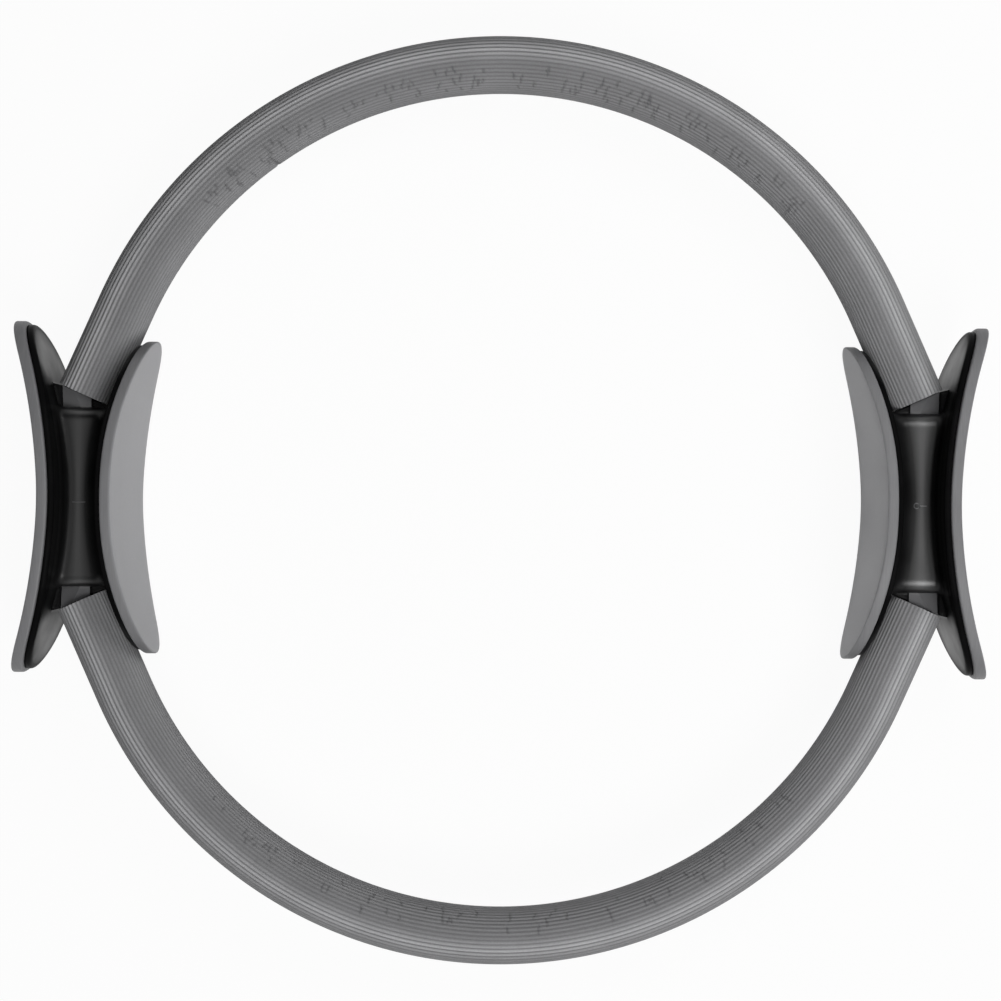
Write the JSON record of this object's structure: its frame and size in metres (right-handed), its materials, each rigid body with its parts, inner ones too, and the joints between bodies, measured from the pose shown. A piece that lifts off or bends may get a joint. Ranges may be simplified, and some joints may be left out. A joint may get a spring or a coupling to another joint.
{
  "type": "pilates ring",
  "caption": "Flexible exercise ring of two sprung arcs in ribbed foam, joined by two rigid handles with padded hollow pressing faces inside and outside.",
  "frame": {"origin": "under the ring's centre, on the surface that the pad rims rest on when the ring lies flat", "axes": "+Z along the ring's axis, upwards when it lies flat; +X from the left handle to the right handle; +Y towards the upper arc of the picture"},
  "size_m": [0.3754, 0.3596, 0.065],
  "materials": {
    "handle_plastic": "moulded, half gloss, black",
    "bush_plastic": "moulded, half gloss, black",
    "sheath_plastic": "extruded, satin, black",
    "pad_foam": "fine closed cell foam, mid grey",
    "sleeve_foam": "ribbed extruded foam, grey",
    "spring_steel": "blued rolled strip",
    "screw_steel": "zinc plated"
  },
  "bodies": {
    "left_handle": {"left_saddle": "handle_plastic", "left_outer_pad": "pad_foam", "left_inner_pad": "pad_foam", "left_retaining_screws": "screw_steel", "upper_left_mouth_bush": "bush_plastic", "lower_left_mouth_bush": "bush_plastic"},
    "right_handle": {"right_saddle": "handle_plastic", "right_outer_pad": "pad_foam", "right_inner_pad": "pad_foam", "right_retaining_screws": "screw_steel", "upper_right_mouth_bush": "bush_plastic", "lower_right_mouth_bush": "bush_plastic"},
    "upper_sleeve": {"upper_foam_sleeve": "sleeve_foam"},
    "lower_sleeve": {"lower_foam_sleeve": "sleeve_foam"},
    "upper_spring": {"upper_core_sheath": "sheath_plastic", "upper_inner_leaf": "spring_steel", "upper_middle_leaf": "spring_steel", "upper_outer_leaf": "spring_steel"},
    "lower_spring": {"lower_core_sheath": "sheath_plastic", "lower_inner_leaf": "spring_steel", "lower_middle_leaf": "spring_steel", "lower_outer_leaf": "spring_steel"}
  },
  "joints": [
    {"name": "squeeze", "type": "slide", "parent": "left_handle", "child": "right_handle", "axis": [-1, 0, 0], "range_m": [-0.025, 0.06], "stiffness_N_per_m": 1300},
    {"name": "upper_sleeve_bow", "type": "slide", "parent": "left_handle", "child": "upper_sleeve", "axis": [-0.6768, 0.7361, 0], "range_m": [-0.0189, 0.0447], "deforming": ["upper_foam_sleeve"]},
    {"name": "lower_sleeve_bow", "type": "slide", "parent": "left_handle", "child": "lower_sleeve", "axis": [-0.6768, -0.7361, 0], "range_m": [-0.0189, 0.0447], "deforming": ["lower_foam_sleeve"]},
    {"name": "upper_spring_bow", "type": "slide", "parent": "right_handle", "child": "upper_spring", "axis": [0.6768, 0.7361, 0], "range_m": [-0.0189, 0.0447], "deforming": ["upper_core_sheath", "upper_inner_leaf", "upper_middle_leaf", "upper_outer_leaf"]},
    {"name": "lower_spring_bow", "type": "slide", "parent": "right_handle", "child": "lower_spring", "axis": [0.6768, -0.7361, 0], "range_m": [-0.0189, 0.0447], "deforming": ["lower_core_sheath", "lower_inner_leaf", "lower_middle_leaf", "lower_outer_leaf"]}
  ],
  "couplings": [
    {"joint": "upper_sleeve_bow", "follows": "squeeze", "ratio": 0.73869},
    {"joint": "lower_sleeve_bow", "follows": "squeeze", "ratio": 0.73869},
    {"joint": "upper_spring_bow", "follows": "squeeze", "ratio": 0.73869},
    {"joint": "lower_spring_bow", "follows": "squeeze", "ratio": 0.73869}
  ]
}
